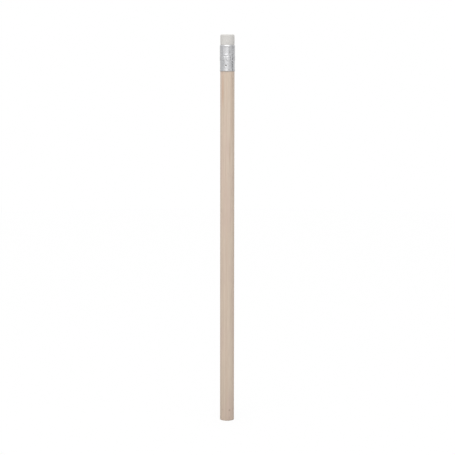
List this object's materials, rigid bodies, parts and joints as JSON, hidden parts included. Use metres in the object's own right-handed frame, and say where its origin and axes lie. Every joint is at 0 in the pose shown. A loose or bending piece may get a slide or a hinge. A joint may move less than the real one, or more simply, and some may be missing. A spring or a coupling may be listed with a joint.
{
  "type": "graphite pencil",
  "caption": "Unsharpened round wood-cased graphite pencil with an embossed ferrule and a plain eraser, standing on its cut end.",
  "frame": {"origin": "centre of the flat cut end, which the pencil stands on", "axes": "+Z along the lead towards the eraser, -Y to the front, +X to the right seen from the front; the slats are glued on the plane Y = 0"},
  "size_m": [0.0074, 0.0074, 0.19],
  "materials": {
    "casing_wood": "bare, finely sanded basswood with straight pale grain",
    "wood_glue": "dried clear wood glue",
    "graphite_lead": "fired graphite and clay, dull dark grey with a faint metallic sheen",
    "ferrule_sheet": "bright pressed sheet, embossed, with fine drawing marks",
    "eraser_rubber": "matt off-white, slightly chalky"
  },
  "bodies": {
    "root": {"slat_front": "casing_wood", "slat_back": "casing_wood", "glue_line": "wood_glue", "lead": "graphite_lead", "ferrule": "ferrule_sheet", "eraser": "eraser_rubber"}
  },
  "joints": []
}
